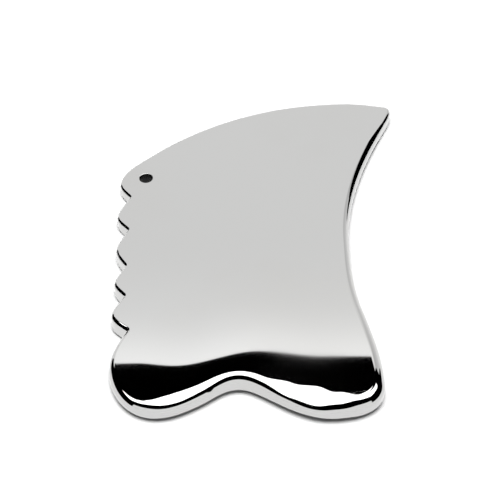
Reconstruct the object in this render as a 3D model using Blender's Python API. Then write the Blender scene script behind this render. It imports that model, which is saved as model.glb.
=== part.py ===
"""Gua sha scraper: one solid plate of polished stainless steel.

The plate lies on its flat back. +X runs across it, +Y from the lobed thick end to the
thin end, +Z up. The origin is at the centre of its box, on the plane of the back.
"""

import math

import bmesh
import bpy
from mathutils import Matrix, Vector

MM = 0.001

# Plate thickness: at the foot of the lobes on the centre line, and how it falls away.
FOOT_THICKNESS = 7.9
THINNING_ALONG = 0.031
THINNING_TO_COMB = 0.020

# Outline, in millimetres from the foot of the lobes: (x, y, heading in degrees), walked
# anticlockwise with the steel on the left hand.
RIGHT_LOBE_FOOT = (23.5, 0.0, 0.0)
RIGHT_LOBE_SIDE = (39.3, 9.8, 90.0)
FLARE = (34.1, 39.6, 104.3)
WAIST = (31.5, 67.7, 90.0)
TIP_ROOT = (45.5, 122.0, 65.8)
TIP_TOP = (45.8, 131.3, 168.0)
CROWN = (32.3, 133.3, 180.0)
SHOULDER = (-30.4, 108.5, 223.0)
CORNER = (-40.6, 94.0, 270.0)
LEFT_LOBE_SIDE = (-39.5, 16.6, 270.0)
LEFT_LOBE_FOOT = (-25.6, 0.4, 0.0)
NOTCH_LEFT_FLANK = (-12.7, 5.3, 32.0)
NOTCH_TOP = (-2.3, 10.7, 0.0)
NOTCH_RIGHT_FLANK = (6.0, 7.2, -32.0)

# Comb: the five valleys down the left side, with a scallop between each two: (x, y, and
# the angles that the flank above and the flank below make with straight across).
VALLEYS = ((-37.3, 87.7, 38.0, 25.0), (-37.2, 72.7, 38.0, 24.0), (-37.2, 56.9, 32.0, 24.0),
           (-36.9, 44.1, 36.0, 27.0), (-35.4, 30.0, 46.0, 29.0))
SCALLOP_CRESTS = ((-40.7, 78.6), (-40.2, 63.9), (-40.0, 49.4), (-40.1, 36.4))
VALLEY_RADIUS = 0.5

# Edge section, as three arcs from the face to the middle of the edge. Each has its range
# of tilt from the face. The thin edges have one radius on the comb side, another on the
# concave side and a third at the tip. The nose's three radii change across the plate.
ARC_ENDS = (0.0, 26.0, 46.0, 90.0)
COMB_RADIUS = 1.1
CONCAVE_RADIUS = 2.3
TIP_RADIUS = 1.2
TIP_START_Y = 110.0
TIP_FULL_Y = 122.0
NOSE_STATIONS_X = (-37.0, -30.0, -22.0, -4.0, 2.0, 10.0, 18.0, 26.0, 33.0)
NOSE_RADII = ((3.2, 2.6, 3.0), (3.4, 2.6, 3.0), (7.8, 2.6, 3.1), (3.4, 3.8, 4.0),
              (2.6, 2.4, 4.6), (6.0, 1.6, 4.4), (17.5, 2.2, 3.4), (8.0, 3.4, 3.0),
              (3.6, 3.6, 2.8))
NOSE_FULL_Y = 8.0
NOSE_END_Y = 22.0
RING_TILTS = (0.0, 13.0, 26.0, 46.0, 68.0, 90.0)

# Hanging hole.
HOLE_CENTRE = (-32.5, 96.6)
HOLE_DIAMETER = 4.2
HOLE_SEGMENTS = 40

POINTS_PER_VALLEY = 4
POINTS_PER_LEG = 7
POINTS_PER_LONG_LEG = 12


def thickness(x, y):
    """Thickness of the plate, front face to back face, at a place on it."""
    return FOOT_THICKNESS + THINNING_TO_COMB * x - THINNING_ALONG * y


def heading_vector(degrees):
    """Unit vector in the plane for a heading."""
    return Vector((math.cos(math.radians(degrees)), math.sin(math.radians(degrees))))


def leg(start, end, count):
    """Points and headings of a smooth curve that leaves start and arrives at end.

    The handles are the length that makes the curve a circular arc where the two
    headings allow one. The end point itself belongs to the next leg.
    """
    first, last = Vector(start[:2]), Vector(end[:2])
    turn = math.radians((end[2] - start[2] + 180.0) % 360.0 - 180.0)
    reach = (last - first).length / (3.0 * math.cos(turn / 4.0) ** 2)
    near = first + heading_vector(start[2]) * reach
    far = last - heading_vector(end[2]) * reach
    walk = []
    for step in range(count):
        t = step / count
        s = 1.0 - t
        point = s**3 * first + 3 * s * s * t * near + 3 * s * t * t * far + t**3 * last
        along = s * s * (near - first) + 2 * s * t * (far - near) + t * t * (last - far)
        walk.append((point, along.normalized()))
    return walk


def valley(x, y, above, below):
    """Stations where the outline enters and leaves the small round at a comb valley."""
    centre = Vector((x - VALLEY_RADIUS, y))
    entry = centre + heading_vector(above) * VALLEY_RADIUS
    leaving = centre + heading_vector(-below) * VALLEY_RADIUS
    return (entry.x, entry.y, above - 90.0), (leaving.x, leaving.y, -below - 90.0)


def outline():
    """The whole outline as a closed walk of (point, heading vector)."""
    walk = []
    right_side = (RIGHT_LOBE_FOOT, RIGHT_LOBE_SIDE, FLARE, WAIST)
    for start, end in zip(right_side, right_side[1:]):
        walk += leg(start, end, POINTS_PER_LEG)
    walk += leg(WAIST, TIP_ROOT, POINTS_PER_LONG_LEG)
    walk += leg(TIP_ROOT, TIP_TOP, POINTS_PER_LONG_LEG)
    walk += leg(TIP_TOP, CROWN, POINTS_PER_LEG)
    walk += leg(CROWN, SHOULDER, POINTS_PER_LONG_LEG)
    walk += leg(SHOULDER, CORNER, POINTS_PER_LEG)

    crests = [CORNER, *((x, y, 270.0) for x, y in SCALLOP_CRESTS), LEFT_LOBE_SIDE]
    for place, crest, next_crest in zip(VALLEYS, crests, crests[1:]):
        entry, leaving = valley(*place)
        walk += leg(crest, entry, POINTS_PER_LEG)
        walk += leg(entry, leaving, POINTS_PER_VALLEY)
        walk += leg(leaving, next_crest, POINTS_PER_LEG)

    foot = (LEFT_LOBE_SIDE, LEFT_LOBE_FOOT, NOTCH_LEFT_FLANK, NOTCH_TOP,
            NOTCH_RIGHT_FLANK, RIGHT_LOBE_FOOT)
    for start, end in zip(foot, foot[1:]):
        walk += leg(start, end, POINTS_PER_LONG_LEG)
    return walk


def ease(value):
    """Smooth step from 0 to 1."""
    value = min(max(value, 0.0), 1.0)
    return value * value * (3.0 - 2.0 * value)


def blend(first, second, share):
    """Mix of two equally long lists of numbers."""
    return [a + (b - a) * share for a, b in zip(first, second)]


def nose_radii(x):
    """Radii of the nose's three arcs, which change across the plate."""
    passed = sum(x > station for station in NOSE_STATIONS_X[1:-1])
    left, right = NOSE_STATIONS_X[passed:passed + 2]
    return blend(*NOSE_RADII[passed:passed + 2], ease((x - left) / (right - left)))


def edge_section(point):
    """Inset and drop of each ring, from the face's rim to the middle of the edge."""
    tip_share = ease((point.y - TIP_START_Y) / (TIP_FULL_Y - TIP_START_Y))
    right_radius = CONCAVE_RADIUS + (TIP_RADIUS - CONCAVE_RADIUS) * tip_share
    right_share = ease(point.x / WAIST[0])
    thin_radius = COMB_RADIUS + (right_radius - COMB_RADIUS) * right_share
    thin_share = ease((point.y - NOSE_FULL_Y) / (NOSE_END_Y - NOSE_FULL_Y))
    radii = blend(nose_radii(point.x), [thin_radius] * 3, thin_share)
    insets = [0.0]
    drops = [0.0]
    for low, high in zip(RING_TILTS, RING_TILTS[1:]):
        arc = sum(low >= end for end in ARC_ENDS[1:])
        low, high = math.radians(low), math.radians(high)
        insets.append(insets[-1] + radii[arc] * (math.sin(high) - math.sin(low)))
        drops.append(drops[-1] + radii[arc] * (math.cos(low) - math.cos(high)))
    half = thickness(point.x, point.y) / 2.0
    fit = min(1.0, half / drops[-1])
    reach = insets[-1]
    return [((reach - inset) * fit, drop * fit) for inset, drop in zip(insets, drops)]


def plate_mesh():
    """The plate as rings of points, from the front face's rim round to the back's."""
    walk = outline()
    low = Vector((min(p.x for p, _ in walk), min(p.y for p, _ in walk)))
    high = Vector((max(p.x for p, _ in walk), max(p.y for p, _ in walk)))
    middle = (low + high) / 2.0
    front_rings = [[] for _ in RING_TILTS]
    back_rings = [[] for _ in RING_TILTS]
    mesh = bmesh.new()
    for point, along in walk:
        inward = Vector((-along.y, along.x))
        for ring, (inset, drop) in enumerate(edge_section(point)):
            place = point + inward * inset
            x, y = (place - middle) * MM
            front = (thickness(place.x, place.y) - drop) * MM
            back = drop * MM
            if ring == len(RING_TILTS) - 1 and front - back < 0.02 * MM:
                front = back = (front + back) / 2.0
            front_rings[ring].append(mesh.verts.new((x, y, front)))
            back_rings[ring].append(mesh.verts.new((x, y, back)))

    rings = front_rings + back_rings[::-1]
    count = len(walk)
    for upper, lower in zip(rings, rings[1:]):
        for index in range(count):
            after = (index + 1) % count
            mesh.faces.new((upper[index], lower[index], lower[after], upper[after]))
    mesh.faces.new(rings[0])
    mesh.faces.new(reversed(rings[-1]))
    bmesh.ops.remove_doubles(mesh, verts=mesh.verts, dist=0.001 * MM)
    bmesh.ops.recalc_face_normals(mesh, faces=mesh.faces)
    data = bpy.data.meshes.new("scraper_plate")
    mesh.to_mesh(data)
    mesh.free()
    return data, middle


def steel():
    """Polished stainless steel."""
    material = bpy.data.materials.new("polished_steel")
    material.use_nodes = True
    shader = material.node_tree.nodes["Principled BSDF"]
    shader.inputs["Base Color"].default_value = (0.78, 0.78, 0.77, 1.0)
    shader.inputs["Metallic"].default_value = 1.0
    shader.inputs["Roughness"].default_value = 0.06
    return material


def collection(name):
    """A new collection in the scene."""
    group = bpy.data.collections.new(name)
    bpy.context.scene.collection.children.link(group)
    return group


def hole_cutter(middle, group):
    """A round bar that stands through the plate where the hanging hole is."""
    mesh = bmesh.new()
    x, y = (Vector(HOLE_CENTRE) - middle) * MM
    length = 2.0 * FOOT_THICKNESS * MM
    bmesh.ops.create_cone(
        mesh, cap_ends=True, segments=HOLE_SEGMENTS, depth=length,
        radius1=HOLE_DIAMETER / 2.0 * MM, radius2=HOLE_DIAMETER / 2.0 * MM,
        matrix=Matrix.Translation((x, y, 0.0)))
    data = bpy.data.meshes.new("hanging_hole_cutter")
    mesh.to_mesh(data)
    mesh.free()
    cutter = bpy.data.objects.new("hanging_hole_cutter", data)
    cutter.hide_render = True
    cutter.display_type = "WIRE"
    group.objects.link(cutter)
    return cutter


def main():
    for old in list(bpy.data.objects):
        bpy.data.objects.remove(old, do_unlink=True)
    parts = collection("gua_sha_scraper")
    cutters = collection("cutters")

    data, middle = plate_mesh()
    data.materials.append(steel())
    plate = bpy.data.objects.new("scraper_plate", data)
    parts.objects.link(plate)
    data.shade_smooth()
    data.set_sharp_from_angle(angle=math.radians(40.0))

    cut = plate.modifiers.new("hanging_hole", "BOOLEAN")
    cut.operation = "DIFFERENCE"
    cut.object = hole_cutter(middle, cutters)


main()
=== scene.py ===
"""Gua sha scraper: a solid plate of polished stainless steel, with its studio.

The plate lies on its flat back, lobed thick end towards -Y and thin end towards +Y.
"""

import math

import bmesh
import bpy
import numpy as np
from bpy.props import FloatProperty, FloatVectorProperty, PointerProperty
from bpy.types import Operator, Panel, PropertyGroup
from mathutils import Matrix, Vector
from mathutils.geometry import delaunay_2d_cdt


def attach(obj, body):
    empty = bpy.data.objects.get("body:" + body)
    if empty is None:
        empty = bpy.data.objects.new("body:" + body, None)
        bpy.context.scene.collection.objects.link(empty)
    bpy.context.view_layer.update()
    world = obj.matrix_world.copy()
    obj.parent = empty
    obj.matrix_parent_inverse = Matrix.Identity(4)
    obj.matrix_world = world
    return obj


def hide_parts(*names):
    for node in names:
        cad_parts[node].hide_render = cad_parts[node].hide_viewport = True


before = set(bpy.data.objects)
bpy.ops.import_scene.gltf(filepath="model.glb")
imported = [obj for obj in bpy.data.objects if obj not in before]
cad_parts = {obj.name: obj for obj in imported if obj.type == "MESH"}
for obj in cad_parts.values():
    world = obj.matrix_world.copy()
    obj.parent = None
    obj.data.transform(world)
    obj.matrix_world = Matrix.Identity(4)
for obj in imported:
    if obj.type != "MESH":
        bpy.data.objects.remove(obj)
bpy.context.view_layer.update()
PLATE_NODE = "scraper_plate"

bl_info = {
    "name": "Gua Sha Scraper",
    "version": (1, 0, 0),
    "blender": (4, 5, 0),
    "location": "3D View > Sidebar > Scraper",
    "description": "Builds a polished steel gua sha scraper and a small studio around it",
    "category": "Add Mesh",
}

MM = 0.001

# Outline, in millimetres from the foot of the lobes: (x, y, heading in degrees), walked
# anticlockwise with the steel on the left hand.
RIGHT_LOBE_FOOT = (23.5, 0.0, 0.0)
RIGHT_LOBE_SIDE = (39.3, 9.8, 90.0)
FLARE = (34.1, 39.6, 104.3)
WAIST = (31.5, 67.7, 90.0)
TIP_ROOT = (45.5, 122.0, 65.8)
TIP_TOP = (45.8, 131.3, 168.0)
CROWN = (32.3, 133.3, 180.0)
SHOULDER = (-30.4, 108.5, 223.0)
CORNER = (-40.6, 94.0, 270.0)
LEFT_LOBE_SIDE = (-39.5, 16.6, 270.0)
LEFT_LOBE_FOOT = (-25.6, 0.4, 0.0)
NOTCH_LEFT_FLANK = (-12.7, 5.3, 32.0)
NOTCH_TOP = (-2.3, 10.7, 0.0)
NOTCH_RIGHT_FLANK = (6.0, 7.2, -32.0)

# Comb: the five valleys down the left side, with a scallop between each two: (x, y, and
# the angles that the flank above and the flank below make with straight across).
VALLEYS = ((-37.3, 87.7, 38.0, 25.0), (-37.2, 72.7, 38.0, 24.0), (-37.2, 56.9, 32.0, 24.0),
           (-36.9, 44.1, 36.0, 27.0), (-35.4, 30.0, 46.0, 29.0))
SCALLOP_CRESTS = ((-40.7, 78.6), (-40.2, 63.9), (-40.0, 49.4), (-40.1, 36.4))

# Edge section, as three arcs from the face to the middle of the edge. Each has its range
# of tilt from the face. The lobed nose's three radii change across the plate, and the
# comb's three along it. The concave side has one radius for all its arcs: (y, radius).
ARC_ENDS = (0.0, 26.0, 46.0, 90.0)
NOSE_STATIONS_X = (-37.0, -30.0, -22.0, -4.0, 3.0, 10.0, 18.0, 26.0, 33.0)
NOSE_RADII = ((3.2, 2.6, 3.0), (3.4, 2.6, 3.0), (7.8, 2.6, 3.1), (3.6, 4.0, 4.0),
              (3.8, 3.6, 3.6), (10.2, 2.6, 3.0), (20.5, 2.5, 3.1), (11.0, 3.2, 3.2),
              (3.6, 3.6, 3.0))
NOSE_FULL_Y = 8.0
NOSE_END_Y = 22.0
COMB_STATIONS_Y = (28.0, 40.0, 86.0)
COMB_RADII = ((0.4, 3.0, 1.0), (0.5, 1.7, 1.0), (0.5, 1.5, 0.7))
CONCAVE_RADII = ((28.0, 2.9), (62.0, 2.3), (100.0, 2.5), (112.0, 2.4), (122.0, 1.2))

# Each half of the edge stops this far short of the middle, in millimetres.
EDGE_FLAT = 0.1

# Distance over which the face's slope is measured, in millimetres.
SLOPE_STEP = 0.1

# The front face's roll down to the nose starts higher up above the notch. Its tilt is
# given at this height above the foot, where the nose round begins.
CROWN_STATIONS_X = (-31.0, -20.0, 3.0, 22.0, 38.0)
CROWN_SHIFTS = (1.6, 0.0, 6.8, 3.6, 3.2)
CROWN_MEASURED_Y = 7.0

# Fineness of the mesh, in millimetres along the outline and over the face, and in
# degrees of tilt over the edge.
OUTLINE_STEP = 0.7
LEAST_STEPS_IN_LEG = 6
FACE_STEP = 1.6
TILT_STEP = 4.5
HOLE_SEGMENTS = 64
HOLE_RIM_RINGS = 6

# Reach of the unbuffed look round each comb valley, in millimetres.
UNBUFFED_REACH = 1.6

# Marks in the polish. Scales are in waves to the metre. Limits are the noise values from
# which a mark starts to show and shows fully.
HAZE_SCALE = 28.0
HAZE_LIMITS = (0.42, 0.62)
HAIRLINE_SCALE = 5200.0
HAIRLINE_STRETCH = (1.0, 0.035, 1.0)
HAIRLINE_LIMITS = (0.60, 0.74)
HAIRLINE_ROUGHNESS = 0.012
HAIRLINE_DEPTH = 0.00004
SCRATCH_SCALE = 60.0
SCRATCH_WIDTH = 0.004
SCRATCH_PATCH_SCALE = 35.0
SCRATCH_PATCH_LIMITS = (0.56, 0.60)
SCRATCH_ROUGHNESS = 0.04
SCRATCH_DEPTH = 0.0006
FILM_SCALE = 14.0
FILM_LIMITS = (0.48, 0.66)
FILM_SHARE = 0.5
FILM_ROUGHNESS = 0.012
WAVINESS_SCALE = 9.0
WAVINESS_DEPTH = 0.6
BORE_ROUGHNESS = 0.4
RELIEF_STRENGTH = 0.1
RELIEF_DISTANCE = 0.0002

# Cards. Angles are in degrees, as seen from the plate. The far card stands upright past
# the thin end, with its right top corner cut off at points given as (across, up) shares
# of its distance. The overhead card hangs level at a share of that distance, and its
# outline is (across, along) shares of its height. The near card stands behind the camera.
FAR_CARD_TOP_ELEVATION = 49.5
FAR_CARD_LEFT_AZIMUTH = 45.0
FAR_CARD_RIGHT_AZIMUTH = 48.0
FAR_CARD_CORNER = ((1.11, 0.58), (0.95, 0.77), (0.65, 1.02), (0.48, 1.17))
FAR_CARD_GREY = 1.09
FAR_CARD_TOP = 1.50
FAR_CARD_TOP_GLOW = (0.90, 1.17)
FAR_CARD_RIGHT_DIM = (0.30, 0.60)
FAR_CARD_RIGHT_LOSS = 0.38
OVERHEAD_HEIGHT = 1.5
OVERHEAD_OUTLINE = ((-0.08, 0.675), (0.12, 0.675), (0.24, 0.36), (0.50, 0.72), (0.85, 0.60),
                    (0.85, 0.42), (0.70, -0.213), (-0.92, -0.213), (-0.92, 0.34),
                    (-0.60, 0.16), (-0.40, 0.13), (-0.20, 0.30))
OVERHEAD_GLOW = 3.4
NEAR_CARD_TOP_ELEVATION = 38.0
NEAR_CARD_HALF_WIDTH = 1.5
NEAR_CARD_GLOW = 1.19

# Room, with sizes in metres: the dome and the soft light, which both light the floor, the
# floor, and the backdrop. The soft light leans and spreads by angles in degrees.
DOME_GLOW = 0.05
FLOOR_RADIUS = 30.0
FLOOR_SEGMENTS = 96
FLOOR_ROUGHNESS = 0.9
BACKDROP_RADIUS = 5.0
BACKDROP_GLOW = 1.0
SOFT_LIGHT_TILT = 9.0
SOFT_LIGHT_SPREAD = 36.0
SOFT_LIGHT_STRENGTH = 4.2

# Camera, in millimetres for the sensor and metres for the clipping.
SENSOR_WIDTH = 36.0
CLIP_START = 0.01
CLIP_END = 100.0

WHITE = (1.0, 1.0, 1.0, 1.0)


# ---------------------------------------------------------------------------------------
# Sizes and colours that a user would change


class ScraperShape(PropertyGroup):
    """Sizes of the plate."""

    foot_thickness: FloatProperty(
        name="Foot thickness", description="Thickness at the foot of the lobes",
        default=7.9 * MM, unit="LENGTH")
    thinning_along: FloatProperty(
        name="Thinning along", description="Thickness lost for each unit towards the thin end",
        default=0.031, precision=3)
    thinning_to_comb: FloatProperty(
        name="Thinning to comb", description="Thickness lost for each unit towards the comb",
        default=0.020, precision=3)
    crown_reach: FloatProperty(
        name="Crown reach", description="How far from the foot the face starts to roll down",
        default=38.0 * MM, unit="LENGTH")
    crown_tilt: FloatProperty(
        name="Crown tilt", description="Tilt of the rolled face where the nose round begins",
        default=math.radians(3.0), subtype="ANGLE")
    valley_round: FloatProperty(
        name="Valley round", description="Radius at the bottom of each comb valley",
        default=0.5 * MM, unit="LENGTH")
    hole_diameter: FloatProperty(
        name="Hole diameter", description="Diameter of the hanging hole",
        default=4.2 * MM, unit="LENGTH")
    hole_place: FloatVectorProperty(
        name="Hole place", description="Centre of the hanging hole, from the lobes' foot",
        default=(-32.5 * MM, 96.6 * MM), size=2, unit="LENGTH")
    hole_round: FloatProperty(
        name="Hole round", description="Radius of the round at the hole's two rims",
        default=0.25 * MM, unit="LENGTH")


class ScraperFinish(PropertyGroup):
    """Look of the polished steel."""

    steel: FloatVectorProperty(
        name="Steel", description="Colour of the polished steel's reflections",
        default=(0.55, 0.55, 0.545), size=3, subtype="COLOR", min=0.0, max=1.0)
    tarnish: FloatVectorProperty(
        name="Tarnish", description="Colour of the faint film where hands have held it",
        default=(0.53, 0.525, 0.515), size=3, subtype="COLOR", min=0.0, max=1.0)
    # Painted shade: near black on the hole's walls, which stands in for the shade down the hole.
    bore_painted_shade: FloatVectorProperty(
        name="Bore", description="Colour of the hole's raw, darkened bore",
        default=(0.02, 0.02, 0.02), size=3, subtype="COLOR", min=0.0, max=1.0)
    polish: FloatProperty(
        name="Polish", description="Roughness of the best polished places",
        default=0.02, subtype="FACTOR", min=0.0, max=1.0)
    haze: FloatProperty(
        name="Haze", description="Roughness that the buffing left in patches",
        default=0.015, subtype="FACTOR", min=0.0, max=1.0)
    unbuffed: FloatProperty(
        name="Unbuffed", description="Roughness in the valleys that a wheel hardly reaches",
        default=0.12, subtype="FACTOR", min=0.0, max=1.0)


class StudioSettings(PropertyGroup):
    """Camera, floor and cards."""

    lens: FloatProperty(
        name="Lens", description="Focal length of the camera in millimetres", default=118.8)
    camera_tilt: FloatProperty(
        name="Camera tilt", description="How far the camera looks down",
        default=math.radians(46.0), subtype="ANGLE")
    camera_place: FloatVectorProperty(
        name="Camera place", description="Where the camera stands, from the lobes' foot",
        default=(0.0009, -0.2883, 0.3696), size=3, unit="LENGTH")
    floor: FloatVectorProperty(
        name="Floor", description="Colour of the plain floor",
        default=(0.86, 0.86, 0.86), size=3, subtype="COLOR", min=0.0, max=1.0)
    card_distance: FloatProperty(
        name="Card distance", description="How far away the cards stand",
        default=20.0, unit="LENGTH")


# ---------------------------------------------------------------------------------------
# Outline


def heading_vector(degrees):
    """Unit vector in the plane for a heading."""
    return np.array((math.cos(math.radians(degrees)), math.sin(math.radians(degrees))))


def leg(start, end):
    """Points and headings of a smooth curve that leaves start and arrives at end.

    The handles are the length that makes the curve a circular arc where the two
    headings allow one. The end point itself belongs to the next leg.
    """
    first, last = np.array(start[:2]), np.array(end[:2])
    turn = math.radians((end[2] - start[2] + 180.0) % 360.0 - 180.0)
    chord = np.linalg.norm(last - first)
    reach = chord / (3.0 * math.cos(turn / 4.0) ** 2)
    near = first + heading_vector(start[2]) * reach
    far = last - heading_vector(end[2]) * reach
    count = max(LEAST_STEPS_IN_LEG, math.ceil(chord / OUTLINE_STEP))
    t = np.linspace(0.0, 1.0, count, endpoint=False)[:, None]
    s = 1.0 - t
    points = s**3 * first + 3 * s * s * t * near + 3 * s * t * t * far + t**3 * last
    along = s * s * (near - first) + 2 * s * t * (far - near) + t * t * (last - far)
    return points, along / np.linalg.norm(along, axis=1)[:, None]


def valley(x, y, above, below, radius):
    """Stations where the outline enters and leaves the small round at a comb valley."""
    centre = np.array((x - radius, y))
    entry = centre + heading_vector(above) * radius
    leaving = centre + heading_vector(-below) * radius
    return [(*entry, above - 90.0), (*leaving, -below - 90.0)]


def outline(valley_radius):
    """Points and headings all round the plate."""
    walk = [RIGHT_LOBE_FOOT, RIGHT_LOBE_SIDE, FLARE, WAIST, TIP_ROOT, TIP_TOP, CROWN,
            SHOULDER, CORNER]
    crests = [(*crest, 270.0) for crest in SCALLOP_CRESTS]
    for place, crest in zip(VALLEYS, [*crests, LEFT_LOBE_SIDE]):
        walk += [*valley(*place, valley_radius), crest]
    walk += [LEFT_LOBE_FOOT, NOTCH_LEFT_FLANK, NOTCH_TOP, NOTCH_RIGHT_FLANK,
             RIGHT_LOBE_FOOT]
    legs = [leg(start, end) for start, end in zip(walk, walk[1:])]
    return np.vstack([points for points, _ in legs]), np.vstack([ways for _, ways in legs])


# ---------------------------------------------------------------------------------------
# Surface of the plate, in millimetres from the foot of the lobes


def ease(value):
    """Smooth step from 0 to 1."""
    value = np.clip(value, 0.0, 1.0)
    return value * value * (3.0 - 2.0 * value)


def eased(x, places, values):
    """Values at x, eased from each place to the next."""
    places, values = np.asarray(places), np.asarray(values)
    x = np.clip(x, places[0], places[-1])
    index = np.clip(np.searchsorted(places, x) - 1, 0, len(places) - 2)
    share = ease((x - places[index]) / (places[index + 1] - places[index]))
    share = share.reshape(share.shape + (1,) * (values.ndim - 1))
    return values[index] * (1.0 - share) + values[index + 1] * share


class Plate:
    """The plate's faces, edge and hole."""

    def __init__(self, shape):
        self.thick = shape.foot_thickness / MM
        self.thinning = (shape.thinning_to_comb, shape.thinning_along)
        self.crown_reach = shape.crown_reach / MM
        depth = self.crown_reach - CROWN_MEASURED_Y
        self.crown_scale = math.tan(shape.crown_tilt) / (3.0 * depth**2)
        self.hole_centre = np.array(shape.hole_place) / MM
        self.hole_radius = shape.hole_diameter / 2.0 / MM
        self.hole_round = shape.hole_round / MM
        self.points, self.headings = outline(shape.valley_round / MM)
        low, high = self.points.min(axis=0), self.points.max(axis=0)
        self.middle = (low + high) / 2.0

    def front(self, x, y):
        """Height of the front face, which rolls down a little towards the nose."""
        flat = self.thick + self.thinning[0] * x - self.thinning[1] * y
        into = np.clip(self.crown_reach + eased(x, CROWN_STATIONS_X, CROWN_SHIFTS) - y, 0, None)
        return flat - self.crown_scale * into**3

    def front_normal(self, x, y):
        """Unit normals of the front face."""
        step = SLOPE_STEP / 2.0
        slope_x = (self.front(x + step, y) - self.front(x - step, y)) / SLOPE_STEP
        slope_y = (self.front(x, y + step) - self.front(x, y - step)) / SLOPE_STEP
        normal = np.stack([-slope_x, -slope_y, np.ones_like(slope_x)], axis=-1)
        return normal / np.linalg.norm(normal, axis=-1, keepdims=True)

    def edge_radii(self):
        """Radii of the edge's three arcs at each point of the outline."""
        x, y = self.points.T
        nose = eased(x, NOSE_STATIONS_X, NOSE_RADII)
        comb = eased(y, COMB_STATIONS_Y, COMB_RADII)
        concave = np.interp(y, *zip(*CONCAVE_RADII))[:, None]
        thin = comb + (concave - comb) * ease(x / WAIST[0])[:, None]
        thin_share = ease((y - NOSE_FULL_Y) / (NOSE_END_Y - NOSE_FULL_Y))[:, None]
        return nose * (1.0 - thin_share) + thin * thin_share

    def edge(self):
        """Rings of points round the edge: front half and back half, each rim first."""
        tilts = np.radians(np.arange(0.0, 90.0 + TILT_STEP / 2.0, TILT_STEP))
        middles = np.degrees(tilts[1:] + tilts[:-1]) / 2.0
        arcs = np.searchsorted(ARC_ENDS[1:], middles)
        radii = self.edge_radii()[:, arcs]
        insets = np.zeros((len(self.points), len(tilts)))
        drops = np.zeros_like(insets)
        insets[:, 1:] = np.cumsum(radii * np.diff(np.sin(tilts)), axis=1)
        drops[:, 1:] = np.cumsum(radii * -np.diff(np.cos(tilts)), axis=1)
        half = self.front(*self.points.T) / 2.0 - EDGE_FLAT
        fit = np.minimum(1.0, half / drops[:, -1])[:, None]
        reach = (insets[:, -1:] - insets) * fit
        inward = np.stack([-self.headings[:, 1], self.headings[:, 0]], axis=1)
        places = self.points[:, None, :] + inward[:, None, :] * reach[:, :, None]
        return self.both_sides(places, drops * fit)

    def hole(self):
        """Rings of points down the hanging hole: front half and back half, rim first."""
        turn = -np.linspace(0.0, 2.0 * math.pi, HOLE_SEGMENTS, endpoint=False)
        spokes = np.stack([np.cos(turn), np.sin(turn)], axis=1)
        tilts = np.radians(np.linspace(0.0, 90.0, HOLE_RIM_RINGS))
        reach = self.hole_radius + self.hole_round * (1.0 - np.sin(tilts))
        places = self.hole_centre + spokes[:, None, :] * reach[None, :, None]
        drops = np.broadcast_to(self.hole_round * (1.0 - np.cos(tilts)), places.shape[:2])
        return self.both_sides(places, drops)

    def both_sides(self, places, drops):
        """Front and back points for rings that lie that far below each face."""
        top = self.front(places[..., 0], places[..., 1]) - drops
        return (np.concatenate([places, top[..., None]], axis=2),
                np.concatenate([places, drops[..., None]], axis=2))


def band_normals(rings, rim_normals, side):
    """Unit normals of half an edge, from its rim to its middle, which stands upright.

    side is 1 for the front half and -1 for the back half, whose rings run the other way.
    """
    after = np.roll(rings, -1, axis=0) - rings
    before = rings - np.roll(rings, 1, axis=0)
    share = np.linalg.norm(after, axis=2) / np.linalg.norm(before, axis=2)
    around = after / share[..., None] + before * share[..., None]
    across = np.gradient(rings, axis=1)
    across[:, -1] = (0.0, 0.0, -side)
    normals = np.cross(across, around) * side
    normals /= np.linalg.norm(normals, axis=2, keepdims=True)
    normals[:, 0] = rim_normals
    return normals


def inside(points, loop):
    """Which points lie inside a closed loop."""
    x, y = points[:, :1], points[:, 1:]
    x0, y0 = loop.T
    x1, y1 = np.roll(loop, -1, axis=0).T
    crossing = (y0 > y) != (y1 > y)
    rise = np.where(y1 == y0, 1.0, y1 - y0)
    return np.sum(crossing & (x < (x1 - x0) * (y - y0) / rise + x0), axis=1) % 2 == 1


def clear_of(points, loop):
    """Which points keep half a face step away from a loop."""
    gaps = points[:, None, :] - loop[None, :, :]
    return (gaps**2).sum(axis=2).min(axis=1) > (FACE_STEP / 2.0) ** 2


def face_mesh(rim, hole):
    """Points inside the face, and triangles that fill it between its rim and the hole."""
    low, high = rim.min(axis=0), rim.max(axis=0)
    rows = []
    for number, y in enumerate(np.arange(low[1], high[1], FACE_STEP * math.sqrt(0.75))):
        xs = np.arange(low[0] + FACE_STEP / 2.0 * (number % 2), high[0], FACE_STEP)
        rows.append(np.stack([xs, np.full_like(xs, y)], axis=1))
    inner = np.vstack(rows)
    inner = inner[inside(inner, rim) & ~inside(inner, hole)]
    inner = inner[clear_of(inner, rim) & clear_of(inner, hole)]
    points = np.vstack([rim, hole, inner])
    loops = [np.arange(len(rim)), len(rim) + np.arange(len(hole))]
    edges = [(int(a), int(b)) for loop in loops for a, b in zip(loop, np.roll(loop, -1))]
    found = delaunay_2d_cdt([Vector(point) for point in points], edges, [], 0, 1e-6)
    if len(found[0]) != len(points):
        raise RuntimeError("the face's rim crosses itself")
    order = np.array([old[0] for old in found[3]])
    triangles = order[np.array(found[2])]
    centres = points[triangles].mean(axis=1)
    triangles = triangles[inside(centres, rim) & ~inside(centres, hole)]
    a, b, c = points[triangles].transpose(1, 0, 2)
    turned = np.cross(b - a, c - a) < 0.0
    triangles[turned] = triangles[turned][:, ::-1]
    return inner, triangles


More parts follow.
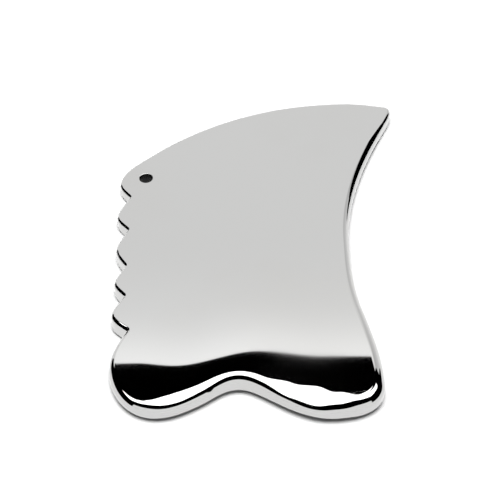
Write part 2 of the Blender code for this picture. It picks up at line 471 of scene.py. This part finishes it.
class Skin:
    """Vertices, normals and faces gathered into one closed mesh."""

    def __init__(self):
        self.points, self.normals, self.faces, self.count = [], [], [], 0

    def add(self, points, normals):
        """Adds vertices and returns their numbers, in the same layout."""
        numbers = self.count + np.arange(points.size // 3).reshape(points.shape[:-1])
        self.points.append(points.reshape(-1, 3))
        self.normals.append(np.broadcast_to(normals, points.shape).reshape(-1, 3))
        self.count += numbers.size
        return numbers

    def strip(self, rings):
        """Quads between each ring of vertex numbers and the next, all the way round."""
        after = np.roll(rings, -1, axis=0)
        quads = np.stack([rings[:, :-1], rings[:, 1:], after[:, 1:], after[:, :-1]], axis=-1)
        self.faces += quads.reshape(-1, 4).tolist()

    def mesh(self, name, middle):
        """The finished mesh, in metres and centred on its box."""
        points = np.vstack(self.points)
        points[:, :2] -= middle
        data = bpy.data.meshes.new(name)
        data.from_pydata((points * MM).tolist(), [], self.faces)
        if data.validate():
            raise RuntimeError("the plate's mesh has bad faces")
        data.shade_smooth()
        data.normals_split_custom_set_from_vertices(np.vstack(self.normals).tolist())
        return data


def plate_skin(plate):
    """The whole plate as one closed mesh with the true normals of its polished surface."""
    skin = Skin()
    down = np.array((0.0, 0.0, -1.0))
    fronts, backs = [], []
    for front, back in (plate.edge(), plate.hole()):
        rim_normals = plate.front_normal(front[:, 0, 0], front[:, 0, 1])
        front_numbers = skin.add(front, band_normals(front, rim_normals, 1.0))
        back_numbers = skin.add(back, band_normals(back, down, -1.0))
        skin.strip(np.concatenate([front_numbers, back_numbers[:, ::-1]], axis=1))
        fronts.append((front[:, 0, :2], front_numbers[:, 0]))
        backs.append(back_numbers[:, 0])
    (rim, rim_numbers), (hole, hole_numbers) = fronts
    inner, triangles = face_mesh(rim, hole)
    x, y = inner.T
    front_inner = skin.add(np.stack([x, y, plate.front(x, y)], axis=1), plate.front_normal(x, y))
    back_inner = skin.add(np.stack([x, y, np.zeros_like(x)], axis=1), down)
    front_all = np.concatenate([rim_numbers, hole_numbers, front_inner])
    back_all = np.concatenate([*backs, back_inner])
    skin.faces += front_all[triangles].tolist()
    skin.faces += back_all[triangles[:, ::-1]].tolist()
    return skin


# ---------------------------------------------------------------------------------------
# Materials


class Value:
    """A shader socket that ordinary arithmetic can be written on."""

    def __init__(self, shading, socket):
        self.shading = shading
        self.socket = socket

    def maths(self, operation, first, second):
        """Math node on two values."""
        return self.shading.node(
            "ShaderNodeMath", {"operation": operation}, {0: first, 1: second})

    def __add__(self, other):
        return self.maths("ADD", self, other)

    def __radd__(self, other):
        return self.maths("ADD", other, self)

    def __sub__(self, other):
        return self.maths("SUBTRACT", self, other)

    def __rsub__(self, other):
        return self.maths("SUBTRACT", other, self)

    def __mul__(self, other):
        return self.maths("MULTIPLY", self, other)

    def __rmul__(self, other):
        return self.maths("MULTIPLY", other, self)

    def distance(self, other):
        """How far the value is from another."""
        return self.shading.node(
            "ShaderNodeMath", {"operation": "ABSOLUTE"}, {0: self - other})

    def rise(self, low, high):
        """0 up to low, 1 from high, smooth between."""
        return self.shading.node(
            "ShaderNodeMapRange", {"interpolation_type": "SMOOTHSTEP"},
            {"Value": self, "From Min": low, "From Max": high})


class Shading:
    """A material's nodes."""

    def __init__(self, name):
        self.material = bpy.data.materials.new(name)
        self.material.use_nodes = True
        self.tree = self.material.node_tree
        self.tree.nodes.clear()

    def node(self, kind, settings, sockets, output=0):
        """Adds a node: its settings first, then its sockets' values or links."""
        made = self.tree.nodes.new(kind)
        for name, value in settings.items():
            setattr(made, name, value)
        for name, value in sockets.items():
            if isinstance(value, Value):
                self.tree.links.new(value.socket, made.inputs[name])
            else:
                made.inputs[name].default_value = value
        return Value(self, made.outputs[output])

    def mix(self, factor, first, second):
        """Mix of two colours."""
        return self.node(
            "ShaderNodeMix", {"data_type": "RGBA"}, {0: factor, 6: first, 7: second}, 2)

    def noise(self, vector, scale, detail=2.0):
        """Noise value at a place."""
        return self.node(
            "ShaderNodeTexNoise", {},
            {"Vector": vector, "Scale": scale, "Detail": detail}, "Fac")

    def finish(self, surface):
        """Closes the tree with a surface."""
        output = self.tree.nodes.new("ShaderNodeOutputMaterial")
        self.tree.links.new(surface.socket, output.inputs["Surface"])
        return self.material


def mark_places(data, plate):
    """Marks the comb valleys, which a wheel hardly reaches, and the hole's walls, where shade is
    painted.
    """
    places = np.array([vertex.co for vertex in data.vertices])[:, :2] / MM + plate.middle
    gaps = places[:, None, :] - np.array(VALLEYS)[None, :, :2]
    near = np.sqrt((gaps**2).sum(axis=2)).min(axis=1)
    mark = data.attributes.new("unbuffed", "FLOAT", "POINT")
    mark.data.foreach_set("value", (1.0 - ease(near / UNBUFFED_REACH)).astype(np.float32))
    # The hole's walls get painted shade, and a rougher finish.
    from_hole = np.linalg.norm(places - plate.hole_centre, axis=1) - plate.hole_radius
    bore_painted_shade = 1.0 - ease(from_hole / (plate.hole_round / 2.0))
    mark = data.attributes.new("bore_painted_shade", "FLOAT", "POINT")
    mark.data.foreach_set("value", bore_painted_shade.astype(np.float32))


def opaque(colour):
    """A colour property as a colour with full alpha."""
    return (*colour, 1.0)


def polished_steel(finish):
    """Mirror-polished stainless steel with buffing haze, hairlines, faint scratches and painted
    shade in the hanging hole.
    """
    shade = Shading("polished_steel")
    place = shade.node("ShaderNodeTexCoord", {}, {}, "Object")

    haze = shade.noise(place, HAZE_SCALE, 3.0).rise(*HAZE_LIMITS)
    along = shade.node(
        "ShaderNodeVectorMath", {"operation": "MULTIPLY"}, {0: place, 1: HAIRLINE_STRETCH})
    hairlines = shade.noise(along, HAIRLINE_SCALE).rise(*HAIRLINE_LIMITS)
    course = shade.noise(place, SCRATCH_SCALE, 0.0)
    kept = shade.noise(place, SCRATCH_PATCH_SCALE, 0.0).rise(*SCRATCH_PATCH_LIMITS)
    scratches = (1.0 - course.distance(0.5).rise(0.0, SCRATCH_WIDTH)) * kept
    film = shade.noise(place, FILM_SCALE, 4.0).rise(*FILM_LIMITS)
    bent = shade.noise(place, WAVINESS_SCALE, 1.0)
    unbuffed = shade.node(
        "ShaderNodeAttribute", {"attribute_name": "unbuffed"}, {}, "Fac")
    bore_painted_shade = shade.node("ShaderNodeAttribute", {"attribute_name": "bore_painted_shade"}, {}, "Fac")

    bright = shade.mix(film * FILM_SHARE, opaque(finish.steel), opaque(finish.tarnish))
    # Painted shade: the hole's walls are coloured near black for the shade down the hole.
    colour = shade.mix(bore_painted_shade, bright, opaque(finish.bore_painted_shade))
    roughness = (finish.polish + haze * finish.haze + hairlines * HAIRLINE_ROUGHNESS
                 + scratches * SCRATCH_ROUGHNESS + film * FILM_ROUGHNESS
                 + unbuffed * finish.unbuffed + bore_painted_shade * BORE_ROUGHNESS)
    height = (bent * WAVINESS_DEPTH - hairlines * HAIRLINE_DEPTH
              - scratches * SCRATCH_DEPTH)
    normal = shade.node(
        "ShaderNodeBump", {},
        {"Strength": RELIEF_STRENGTH, "Distance": RELIEF_DISTANCE, "Height": height})
    return shade.finish(shade.node(
        "ShaderNodeBsdfPrincipled", {},
        {"Base Color": colour, "Metallic": 1.0, "Roughness": roughness, "Normal": normal}))


def floor_paint(colour):
    """Plain matt floor."""
    shade = Shading("studio_floor")
    return shade.finish(shade.node(
        "ShaderNodeBsdfPrincipled", {},
        {"Base Color": opaque(colour), "Roughness": FLOOR_ROUGHNESS,
         "Specular IOR Level": 0.0}))


def even_glow(name, strength):
    """Even white light from a card."""
    shade = Shading(name)
    return shade.finish(shade.node(
        "ShaderNodeEmission", {}, {"Color": WHITE, "Strength": strength}))


def far_card_glow(distance):
    """Grey of the far card: lighter at its top edge, dimmer high up on its right."""
    shade = Shading("far_card")
    place = shade.node("ShaderNodeTexCoord", {}, {}, "Object")
    height = shade.node("ShaderNodeSeparateXYZ", {}, {0: place}, "Z") * (1.0 / distance)
    across = shade.node("ShaderNodeSeparateXYZ", {}, {0: place}, "X") * (1.0 / distance)
    top = height.rise(*FAR_CARD_TOP_GLOW)
    right = across.rise(*FAR_CARD_RIGHT_DIM)
    strength = (FAR_CARD_GREY + top * (FAR_CARD_TOP - FAR_CARD_GREY)
                - right * height * FAR_CARD_RIGHT_LOSS)
    return shade.finish(shade.node(
        "ShaderNodeEmission", {}, {"Color": WHITE, "Strength": strength}))


# ---------------------------------------------------------------------------------------
# Stage


def stage_piece(name, data, material, unseen_by=()):
    """Adds a piece of the studio, hidden from those kinds of ray."""
    data.materials.append(material)
    made = bpy.data.objects.new(name, data)
    bpy.context.scene.collection.objects.link(made)
    for kind in unseen_by:
        setattr(made, "visible_" + kind, False)


def card(name, corners, glow):
    """A flat card that shows only in reflections."""
    data = bpy.data.meshes.new(name)
    data.from_pydata(corners, [], [range(len(corners))])
    stage_piece(name, data, glow, ("camera", "diffuse", "shadow"))


def finished(mesh, name):
    """Mesh data made from a mesh under construction."""
    data = bpy.data.meshes.new(name)
    mesh.to_mesh(data)
    mesh.free()
    return data


def elevation_slope(degrees):
    """Rise over run of a line of sight at that elevation."""
    return math.tan(math.radians(degrees))


def build_cards(distance):
    """Far grey card, overhead white card and near card."""
    top = elevation_slope(FAR_CARD_TOP_ELEVATION)
    left = -elevation_slope(FAR_CARD_LEFT_AZIMUTH)
    right = elevation_slope(FAR_CARD_RIGHT_AZIMUTH)
    shares = ((left, 0.0), (right, 0.0), *FAR_CARD_CORNER, (left, top))
    card("far_card", [(across * distance, distance, up * distance) for across, up in shares],
         far_card_glow(distance))

    high = distance * OVERHEAD_HEIGHT
    card("overhead_card", [(across * high, along * high, high)
                           for across, along in OVERHEAD_OUTLINE],
         even_glow("overhead_card", OVERHEAD_GLOW))

    near_top = distance * elevation_slope(NEAR_CARD_TOP_ELEVATION)
    wide = distance * NEAR_CARD_HALF_WIDTH
    card("near_card", [(-wide, -distance, 0.0), (wide, -distance, 0.0),
                       (wide, -distance, near_top), (-wide, -distance, near_top)],
         even_glow("near_card", NEAR_CARD_GLOW))


def build_floor(colour):
    """Plain pale floor."""
    mesh = bmesh.new()
    bmesh.ops.create_circle(
        mesh, cap_ends=True, segments=FLOOR_SEGMENTS, radius=FLOOR_RADIUS)
    stage_piece("floor", finished(mesh, "floor"), floor_paint(colour))


def build_floor_light():
    """Wide soft light from nearly overhead, which brightens the floor."""
    light = bpy.data.lights.new("soft_light", "SUN")
    light.angle = math.radians(SOFT_LIGHT_SPREAD)
    light.energy = SOFT_LIGHT_STRENGTH
    made = bpy.data.objects.new("soft_light", light)
    made.rotation_euler = (math.radians(SOFT_LIGHT_TILT), 0.0, 0.0)
    made.visible_glossy = False
    bpy.context.scene.collection.objects.link(made)


def build_backdrop():
    """White ball round the studio that only the camera sees."""
    mesh = bmesh.new()
    bmesh.ops.create_icosphere(mesh, subdivisions=3, radius=BACKDROP_RADIUS)
    stage_piece("backdrop", finished(mesh, "backdrop"), even_glow("backdrop", BACKDROP_GLOW),
                ("diffuse", "glossy", "shadow"))


def build_camera(settings, middle):
    """Camera in front of the lobes, looking down at the plate."""
    data = bpy.data.cameras.new("camera")
    data.lens = settings.lens
    data.sensor_width = SENSOR_WIDTH
    data.clip_start = CLIP_START
    data.clip_end = CLIP_END
    camera = bpy.data.objects.new("camera", data)
    camera.location = settings.camera_place
    camera.location.x -= middle[0] * MM
    camera.location.y -= middle[1] * MM
    camera.rotation_euler = (math.pi / 2.0 - settings.camera_tilt, 0.0, 0.0)
    bpy.context.scene.collection.objects.link(camera)
    bpy.context.scene.camera = camera


def build_world():
    """Faint dome that the steel doesn't mirror, and a plain view of colours."""
    world = bpy.data.worlds.new("studio")
    world.use_nodes = True
    background = world.node_tree.nodes["Background"]
    background.inputs["Color"].default_value = WHITE
    background.inputs["Strength"].default_value = DOME_GLOW
    world.cycles_visibility.glossy = False
    bpy.context.scene.world = world
    view = bpy.context.scene.view_settings
    view.view_transform = "Standard"
    view.look = "None"


# ---------------------------------------------------------------------------------------
# Add-on


class SCRAPER_OT_plate(Operator):
    """Build the polished plate in place of its plain solid"""

    bl_idname = "scraper.plate"
    bl_label = "Polished Plate"

    def execute(self, context):
        plate = Plate(context.scene.scraper_shape)
        data = plate_skin(plate).mesh("polished_plate", plate.middle)
        data.materials.append(polished_steel(context.scene.scraper_finish))
        piece = bpy.data.objects.new("polished_plate", data)
        context.scene.collection.objects.link(piece)
        mark_places(data, plate)
        # Light off its mirror sides would wash out the dark line where it meets the floor.
        piece.visible_diffuse = False
        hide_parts(PLATE_NODE)
        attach(piece, "root")
        return {"FINISHED"}


class SCRAPER_OT_stage(Operator):
    """Build the floor, the cards, the light and the camera"""

    bl_idname = "scraper.stage"
    bl_label = "Studio"

    def execute(self, context):
        settings = context.scene.scraper_studio
        plate = Plate(context.scene.scraper_shape)
        build_world()
        build_floor(settings.floor)
        build_cards(settings.card_distance)
        build_floor_light()
        build_backdrop()
        build_camera(settings, plate.middle)
        return {"FINISHED"}


class SCRAPER_PT_panel(Panel):
    """Sizes, finish and studio of the scraper"""

    bl_idname = "SCRAPER_PT_panel"
    bl_label = "Gua Sha Scraper"
    bl_space_type = "VIEW_3D"
    bl_region_type = "UI"
    bl_category = "Scraper"

    def draw(self, context):
        for operator, settings in (
                (SCRAPER_OT_plate, context.scene.scraper_shape),
                (None, context.scene.scraper_finish),
                (SCRAPER_OT_stage, context.scene.scraper_studio)):
            box = self.layout.box()
            for name in settings.__annotations__:
                box.prop(settings, name)
            if operator:
                box.operator(operator.bl_idname)


CLASSES = (ScraperShape, ScraperFinish, StudioSettings, SCRAPER_OT_plate,
           SCRAPER_OT_stage, SCRAPER_PT_panel)


def register():
    """Adds the classes and the scene's settings."""
    for made in CLASSES:
        bpy.utils.register_class(made)
    bpy.types.Scene.scraper_shape = PointerProperty(type=ScraperShape)
    bpy.types.Scene.scraper_finish = PointerProperty(type=ScraperFinish)
    bpy.types.Scene.scraper_studio = PointerProperty(type=StudioSettings)


def unregister():
    """Takes the scene's settings and the classes away."""
    del bpy.types.Scene.scraper_studio
    del bpy.types.Scene.scraper_finish
    del bpy.types.Scene.scraper_shape
    for made in reversed(CLASSES):
        bpy.utils.unregister_class(made)


def main():
    """Builds the scraper and its studio."""
    register()
    bpy.ops.scraper.plate()
    bpy.ops.scraper.stage()


if __name__ == "__main__":
    main()
